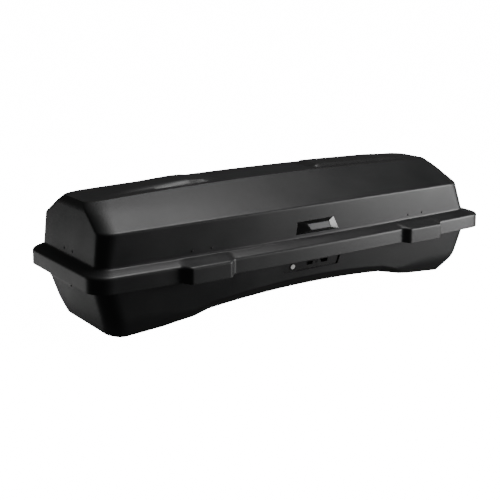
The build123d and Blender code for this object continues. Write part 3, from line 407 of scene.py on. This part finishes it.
def grain_group():
    """Moulded grain: a fine cell pattern over a slower unevenness, as height, with a tone that drifts."""
    tree, given, out = group("moulded_grain",
                             [("Scale", "NodeSocketFloat", 900.0), ("Drift", "NodeSocketFloat", 0.5)],
                             [("Height", "NodeSocketFloat"), ("Tone", "NodeSocketFloat")])
    place = node(tree, "ShaderNodeTexCoord")
    at_scale = {"Vector": place.outputs["Object"], "Scale": given.outputs["Scale"]}
    cells = node(tree, "ShaderNodeTexVoronoi", at_scale)
    fine = node(tree, "ShaderNodeTexNoise", at_scale, Detail=3.0)
    height = node(tree, "ShaderNodeMath", {0: cells.outputs["Distance"], 1: fine.outputs["Fac"]},
                  operation="ADD")
    slow = node(tree, "ShaderNodeTexNoise", {"Vector": place.outputs["Object"]}, Scale=7.0, Detail=5.0)
    swing = node(tree, "ShaderNodeMath", {0: slow.outputs["Fac"]}, operation="SUBTRACT")
    swing.inputs[1].default_value = 0.5
    tone = node(tree, "ShaderNodeMath", {0: swing.outputs[0], 1: given.outputs["Drift"]},
                operation="MULTIPLY")
    tree.links.new(height.outputs[0], out.inputs["Height"])
    tree.links.new(tone.outputs[0], out.inputs["Tone"])
    return tree


def dust_group():
    """Settled dust: a mask that is strongest where a surface faces up, broken by noise at two sizes."""
    tree, given, out = group("settled_dust", [("Amount", "NodeSocketFloat", 0.2)],
                             [("Mask", "NodeSocketFloat")])
    place = node(tree, "ShaderNodeTexCoord")
    surface = node(tree, "ShaderNodeNewGeometry")
    facing = node(tree, "ShaderNodeSeparateXYZ", {"Vector": surface.outputs["Normal"]})
    upward = node(tree, "ShaderNodeMath", {0: facing.outputs["Z"]}, operation="MAXIMUM")
    upward.inputs[1].default_value = 0.0
    specks = node(tree, "ShaderNodeTexNoise", {"Vector": place.outputs["Object"]}, Scale=160.0, Detail=6.0)
    clouds = node(tree, "ShaderNodeTexNoise", {"Vector": place.outputs["Object"]}, Scale=5.0, Detail=3.0)
    both = node(tree, "ShaderNodeMath", {0: specks.outputs["Fac"], 1: clouds.outputs["Fac"]},
                operation="MULTIPLY")
    lying = node(tree, "ShaderNodeMath", {0: both.outputs[0], 1: upward.outputs[0]}, operation="MULTIPLY")
    mask = node(tree, "ShaderNodeMath", {0: lying.outputs[0], 1: given.outputs["Amount"]},
                operation="MULTIPLY")
    tree.links.new(mask.outputs[0], out.inputs["Mask"])
    return tree


def brushed_group():
    """Drawn or pressed metal: fine lines along one axis, as height, and a mask of shallow handling marks."""
    tree, given, out = group("drawn_lines", [("Stretch", "NodeSocketVector", (20.0, 900.0, 900.0))],
                             [("Height", "NodeSocketFloat"), ("Marks", "NodeSocketFloat")])
    place = node(tree, "ShaderNodeTexCoord")
    lined = node(tree, "ShaderNodeVectorMath", {0: place.outputs["Object"], 1: given.outputs["Stretch"]},
                 operation="MULTIPLY")
    lines = node(tree, "ShaderNodeTexNoise", {"Vector": lined.outputs[0]}, Scale=1.0, Detail=4.0)
    marks = node(tree, "ShaderNodeTexNoise", {"Vector": place.outputs["Object"]}, Scale=60.0, Detail=6.0)
    tree.links.new(lines.outputs["Fac"], out.inputs["Height"])
    tree.links.new(marks.outputs["Fac"], out.inputs["Marks"])
    return tree


GRAIN, DUST, BRUSHED = grain_group(), dust_group(), brushed_group()


def placed(tree, kind, **values):
    """A shared group placed in a material with its own values."""
    made = tree.nodes.new("ShaderNodeGroup")
    made.node_tree = kind
    for key, value in values.items():
        made.inputs[key].default_value = value
    return made


def ramp(tree, source, low, high):
    """A colour that runs from `low` to `high` as its source goes from 0 to 1."""
    made = tree.nodes.new("ShaderNodeMix")
    made.data_type = "RGBA"
    tree.links.new(source, made.inputs["Factor"])
    made.inputs[6].default_value, made.inputs[7].default_value = (*low, 1), (*high, 1)
    return made.outputs[2]


def spread(tree, source, low, high, around=(0.0, 1.0)):
    """A number that runs from `low` to `high` as its source crosses a stretch."""
    made = node(tree, "ShaderNodeMapRange", {"Value": source})
    made.inputs["From Min"].default_value, made.inputs["From Max"].default_value = around
    made.inputs["To Min"].default_value, made.inputs["To Max"].default_value = low, high
    return made.outputs["Result"]


def material(name):
    """A new material, its node tree and its main shader."""
    made = bpy.data.materials.new(name)
    made.use_nodes = True
    return made, made.node_tree, made.node_tree.nodes["Principled BSDF"]


def bumped(tree, shader, height, distance):
    """A relief of a height pattern, `distance` metres deep, on a shader's normal."""
    bump = node(tree, "ShaderNodeBump", {"Height": height}, Distance=distance, Strength=1.0)
    tree.links.new(bump.outputs["Normal"], shader.inputs["Normal"])


def plastic(name, dark, light, rough, scale, depth, dust):
    """Black moulded plastic: a grain, a tone and gloss that drift, and a little dust on what faces up."""
    made, tree, shader = material(name)
    grain = placed(tree, GRAIN, Scale=scale, Drift=1.0)
    tone = spread(tree, grain.outputs["Tone"], 0.0, 1.0, (-0.25, 0.25))
    dusty = placed(tree, DUST, Amount=dust)
    mixed = tree.nodes.new("ShaderNodeMix")
    mixed.data_type = "RGBA"
    tree.links.new(dusty.outputs["Mask"], mixed.inputs["Factor"])
    tree.links.new(ramp(tree, tone, dark, light), mixed.inputs[6])
    mixed.inputs[7].default_value = (0.16, 0.15, 0.14, 1)
    tree.links.new(mixed.outputs[2], shader.inputs["Base Color"])
    tree.links.new(spread(tree, grain.outputs["Tone"], rough - 0.04, rough + 0.04, (-0.25, 0.25)),
                   shader.inputs["Roughness"])
    bumped(tree, shader, grain.outputs["Height"], depth)
    return made


def metal(name, dark, light, rough, stretch, metallic=1.0):
    """Bare or plated metal: lines of its drawing or pressing, and handling marks in its colour and gloss."""
    made, tree, shader = material(name)
    lines = placed(tree, BRUSHED, Stretch=stretch)
    tree.links.new(ramp(tree, lines.outputs["Marks"], dark, light), shader.inputs["Base Color"])
    tree.links.new(spread(tree, lines.outputs["Marks"], rough - 0.08, rough + 0.1, (0.3, 0.7)),
                   shader.inputs["Roughness"])
    shader.inputs["Metallic"].default_value = metallic
    bumped(tree, shader, lines.outputs["Height"], 0.00004)
    return made


def webbing():
    """Woven polyester strap: ribs across it and finer thread along it, on the strap's UV map in metres."""
    made, tree, shader = material("strap_webbing")
    map_node = node(tree, "ShaderNodeUVMap", uv_map="strap")
    across = node(tree, "ShaderNodeTexWave", {"Vector": map_node.outputs["UV"]}, Scale=260.0, Distortion=0.6)
    along = node(tree, "ShaderNodeTexWave", {"Vector": map_node.outputs["UV"]}, Scale=420.0, Distortion=0.6)
    along.bands_direction = "Y"
    woven = node(tree, "ShaderNodeMath", {0: across.outputs["Fac"], 1: along.outputs["Fac"]},
                 operation="MULTIPLY")
    tree.links.new(ramp(tree, woven.outputs[0], (0.006, 0.006, 0.007), (0.03, 0.03, 0.032)),
                   shader.inputs["Base Color"])
    shader.inputs["Roughness"].default_value = 0.85
    shader.inputs["Sheen Weight"].default_value = 0.4
    bumped(tree, shader, woven.outputs[0], 0.0004)
    return made


FINISH = {
    "shell": plastic("satin_black_shell", (0.0105, 0.0108, 0.0112), (0.0150, 0.0152, 0.0156),
                     rough=0.44, scale=1100.0, depth=0.00002, dust=0.03),
    "panel": plastic("smooth_black_panel", (0.009, 0.009, 0.0095), (0.013, 0.013, 0.0135),
                     rough=0.38, scale=1400.0, depth=0.00001, dust=0.02),
    "badge": plastic("badge_black", (0.004, 0.004, 0.004), (0.007, 0.007, 0.007),
                     rough=0.24, scale=1500.0, depth=0.000005, dust=0.0),
    "emblem": metal("satin_grey_plate", (0.11, 0.11, 0.112), (0.17, 0.17, 0.174),
                    rough=0.46, stretch=(30.0, 900.0, 900.0), metallic=0.6),
    "barrel": plastic("white_lock_core", (0.72, 0.72, 0.70), (0.86, 0.86, 0.84),
                      rough=0.35, scale=900.0, depth=0.00001, dust=0.02),
    "steel": metal("zinc_plate", (0.42, 0.43, 0.44), (0.58, 0.59, 0.60),
                   rough=0.36, stretch=(300.0, 300.0, 300.0)),
    "black_steel": plastic("powder_coat", (0.010, 0.010, 0.010), (0.018, 0.018, 0.018),
                           rough=0.5, scale=700.0, depth=0.00004, dust=0.02),
    "alloy": metal("mill_finish_alloy", (0.55, 0.56, 0.57), (0.70, 0.71, 0.72),
                   rough=0.40, stretch=(15.0, 900.0, 900.0)),
    "rod": metal("ground_rod", (0.62, 0.62, 0.63), (0.75, 0.75, 0.76),
                 rough=0.16, stretch=(800.0, 60.0, 60.0)),
    "rubber": plastic("seal_rubber", (0.008, 0.008, 0.008), (0.014, 0.014, 0.014),
                      rough=0.75, scale=500.0, depth=0.00006, dust=0.08),
    "knob": plastic("clamp_nylon", (0.014, 0.014, 0.015), (0.022, 0.022, 0.023),
                    rough=0.48, scale=800.0, depth=0.00004, dust=0.03),
    "webbing": webbing(),
}
SLOT_OF = {part["node"]: part["material_slot"] for part in frame["record"]["subparts"]}
for name, body in frame["nodes"].items():
    body.data.materials.clear()
    body.data.materials.append(FINISH[SLOT_OF[name]])


def dressed(piece, body, finish, *nodes):
    """Give a new piece its finish, the body it rides on and the nodes that it stands for."""
    piece.data.materials.clear()
    piece.data.materials.append(FINISH[finish])
    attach(piece, body)
    if nodes:
        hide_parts(*nodes)
    return piece


# ------------------------------------------------------------ the two mouldings
RIVET_PITCH, RIVET_Z, RECESS_RADIUS = 78.0, FOOT + 20.0, 4.7


def rivet_recess(middle, axes):
    """A round block that sinks a rivet's head into the wall: `axes` end with the wall's outward normal."""
    turn = np.linspace(0, 2 * np.pi, 24, endpoint=False)
    plan = RECESS_RADIUS * np.stack([np.cos(turn), np.sin(turn)], 1)
    return prism("rivet_recess", plan, np.asarray(middle, float), np.asarray(axes, float), -2.4, 9)


lid = skin("lid_moulding", lid_rows())
recesses = []
for station in STATIONS:
    for x in (station - RIVET_PITCH / 2, station + RIVET_PITCH / 2):
        for side in (-1, 1):
            recesses.append(rivet_recess((x, side * (float(half_width(x)) - LID_FOOT[1] + 0.5), RIVET_Z),
                                         ((-side, 0, 0), (0, 0, 1), (0, side, 0))))
for y in (-33.0, 33.0):
    recesses.append(rivet_recess((LID_FOOT[2] + 2.2 - HALF, y, RIVET_Z), ((0, 1, 0), (0, 0, 1), (-1, 0, 0))))
cut(lid, recesses)
dressed(lid, "lid", "shell", "lid_shell")

tub = skin("tub_moulding", tub_rows())
PANEL_CORNERS = ((-142, 24), (-130, -24), (130, -24), (142, 24))
lock_at, lock_axes = lock_frame()
tools = [prism("lock_opening", softened(PANEL_CORNERS, 5), lock_at, lock_axes, -16, 12)]
for station in STATIONS:
    # the lip is cut down where a hinge leaf passes over it
    seat = float(half_width(station)) - LIP_INSET
    plan = np.array([(-46, seat - 9), (46, seat - 9), (46, seat + 9), (-46, seat + 9)]) + (station, 0)
    tools.append(prism("lip_cut", plan, np.zeros(3), np.eye(3), 200.0, LIP_TOP + 6))
for name, body in frame["nodes"].items():
    if name.startswith("clamp_claw"):
        # slot in the floor round each clamp's shank
        low, high = (np.array(c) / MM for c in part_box(name.replace("claw", "plate")))
        middle = (low + high) / 2
        slot = softened(((-70, -6.5), (70, -6.5), (70, 6.5), (-70, 6.5)), 6.4)
        floor = float(floor_height(middle[:1], middle[1:2])[0])
        tools.append(prism("clamp_slot", slot + middle[:2], np.zeros(3), np.eye(3), floor - 14, floor + 18))
cut(tub, tools)
dressed(tub, "base", "shell", "base_shell")


# ------------------------------------------------------------ badge: four facets rising to a plain plate
def facets(name, foot, crown, rise, lift=0.0):
    """A low raised form on the lid's wall: a trapezoid foot, facets to a smaller crown, and a flat top."""
    wall = -(float(half_width(WIDEST_X)) - LID_FOOT[1])
    outer, inner = softened(foot, 2.5, 4), softened(crown, 1.5, 4)
    rows = []
    top = lift + rise
    for plan, depth in ((outer, lift - 3.0), (outer, lift), (inner, top), (inner * 0.999, top)):
        rows.append(np.column_stack([plan[:, 0], np.full(len(plan), wall - depth), FOOT + plan[:, 1]]))
    for end, first in ((rows[0], True), (rows[-1], False)):
        middle = np.repeat(end.mean(0)[None], len(end), 0)
        rows.insert(0, middle) if first else rows.append(middle)
    piece = skin(name, rows)
    piece.data.set_sharp_from_angle(angle=np.radians(12))
    return piece


BADGE_FOOT = ((-78, 66), (-75, 16), (126, 16), (100, 66))
BADGE_CROWN = ((-34, 55), (-12, 27), (84, 27), (74, 55))
housing = facets("badge_facets", BADGE_FOOT, BADGE_CROWN, 8.0, 0.8)
dressed(housing, "lid", "badge", "badge_plate")
plate_foot = ((-29, 53), (-9.5, 29), (80, 29), (71, 53))
plate_crown = ((-27.5, 52), (-9, 30), (79, 30), (70, 52))
emblem = facets("badge_plain_plate", plate_foot, plate_crown, 0.8, 8.8)
dressed(emblem, "lid", "emblem", "badge_emblem")


# ------------------------------------------------------------ load straps, laid on the floor
def strap(name, x, reach, wide, thick, bumps):
    """A flat strap across the floor: its length follows the floor and rises off it in soft waves, and its
    section is a thin rounded band."""
    along = np.linspace(-reach, reach, 140)
    section = np.linspace(0, 2 * np.pi, 20, endpoint=False)
    across = np.sign(np.cos(section)) * np.abs(np.cos(section)) ** 0.35 * wide / 2
    up = np.sin(section) * thick / 2
    wave = 0.5 + 0.5 * np.sin(along[:, None] / 26.0 + bumps) * np.sin(along[:, None] / 61.0)
    ends = np.clip((reach - np.abs(along[:, None])) / 30.0, 0, 1)
    xs = x + across[None] + 1.2 * np.sin(along[:, None] / 70.0 + bumps) * ends
    ys = np.repeat(along[:, None], len(section), 1)
    base = floor_height(xs, ys) + WALL
    zs = base + 0.4 + thick / 2 + up[None] + 0.7 * wave * ends
    rows = list(np.stack([xs, ys, zs], -1))
    for at in (0, -1):
        cap = np.repeat(rows[at].mean(0)[None], len(section), 0)
        rows.insert(0, cap) if at == 0 else rows.append(cap)
    piece = skin(name, rows)
    uv = piece.data.uv_layers.new(name="strap")
    spots = np.empty(len(piece.data.vertices) * 3)
    piece.data.vertices.foreach_get("co", spots)
    corners = np.empty(len(piece.data.loops), int)
    piece.data.loops.foreach_get("vertex_index", corners)
    uv.data.foreach_set("uv", spots.reshape(-1, 3)[corners][:, :2].ravel())
    return piece


for end, bumps in (("rear", 0.4), ("front", 1.9)):
    low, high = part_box(f"load_strap_{end}")
    reach = high.y / MM
    band = strap(f"strap_{end}", (low.x + high.x) / 2 / MM, reach, 25.0, 1.4, bumps)
    dressed(band, "base", "webbing", f"load_strap_{end}")


# ------------------------------------------------------------ floor, light and camera
def studio_floor():
    """A pale floor: one large plane just under the box, with a slight unevenness in its tone."""
    mesh = bpy.data.meshes.new("studio_floor")
    reach, low = 30, -0.0005
    corners = [(-reach, -reach, low), (reach, -reach, low), (reach, reach, low), (-reach, reach, low)]
    mesh.from_pydata(corners, [], [(0, 1, 2, 3)])
    floor = bpy.data.objects.new("studio_floor", mesh)
    bpy.context.scene.collection.objects.link(floor)
    made, tree, shader = material("pale_floor")
    place = node(tree, "ShaderNodeTexCoord")
    slow = node(tree, "ShaderNodeTexNoise", {"Vector": place.outputs["Object"]}, Scale=1.5, Detail=3.0)
    tone = ramp(tree, slow.outputs["Fac"], (0.86, 0.86, 0.86), (0.90, 0.90, 0.90))
    tree.links.new(tone, shader.inputs["Base Color"])
    shader.inputs["Roughness"].default_value = 0.9
    shader.inputs["Specular IOR Level"].default_value = 0.1
    shader.inputs["Emission Color"].default_value = (1, 1, 1, 1)
    shader.inputs["Emission Strength"].default_value = 16.0
    mesh.materials.append(made)
    # the camera sees the floor, but it doesn't light the box, show in its gloss or stop the low lamps
    floor.visible_glossy = floor.visible_diffuse = floor.visible_shadow = False


def softbox(name, at, towards, size, power):
    """A soft rectangular light at a place, facing another."""
    lamp = bpy.data.lights.new(name, "AREA")
    lamp.shape, lamp.size, lamp.size_y, lamp.energy = "RECTANGLE", *size, power
    holder = bpy.data.objects.new(name, lamp)
    holder.location = at
    holder.rotation_euler = (Vector(towards) - Vector(at)).to_track_quat("-Z", "Y").to_euler()
    bpy.context.scene.collection.objects.link(holder)


def surroundings():
    """A plain pale room: white where the camera sees it, dimmer as a light on the box."""
    world = bpy.data.worlds.new("pale_room")
    world.use_nodes = True
    tree = world.node_tree
    back = tree.nodes["Background"]
    back.inputs["Color"].default_value = (1, 1, 1, 1)
    back.inputs["Strength"].default_value = 0.05
    seen = node(tree, "ShaderNodeBackground", Strength=16.0)
    seen.inputs["Color"].default_value = (1, 1, 1, 1)
    path = node(tree, "ShaderNodeLightPath")
    mixed = node(tree, "ShaderNodeMixShader",
                 {0: path.outputs["Is Camera Ray"], 1: back.outputs[0], 2: seen.outputs[0]})
    tree.links.new(mixed.outputs[0], tree.nodes["World Output"].inputs["Surface"])
    bpy.context.scene.world = world


studio_floor()
surroundings()
softbox("overhead", (0.35, -0.5, 3.0), (-0.5, -0.2, 0.4), (1.4, 1.2), 60)
softbox("front_side", (3.0, -2.2, 0.5), (0.6, -0.2, 0.3), (1.4, 1.4), 105)
softbox("rear_low", (-2.1, 2.9, -0.8), (-0.9, 0, 0.25), (1.8, 1.5), 9)
softbox("side_low", (2.9, -2.2, -0.9), (0.9, -0.2, 0.1), (1.8, 1.0), 6)
softbox("hinge_side", (0.4, 3.4, -0.5), (0.0, 0.3, 0.25), (2.2, 1.2), 30)

lens = bpy.data.cameras.new("camera")
lens.lens, lens.sensor_width = 72.0, 36.0
lens.clip_start, lens.clip_end = 0.05, 100.0
camera = bpy.data.objects.new("camera", lens)
camera.location = (-2.2231, -3.1128, 1.1539)
camera.rotation_euler = (Vector((-0.0997, 0.0, 0.1702)) - camera.location).to_track_quat("-Z", "Y").to_euler()
bpy.context.scene.collection.objects.link(camera)
bpy.context.scene.camera = camera
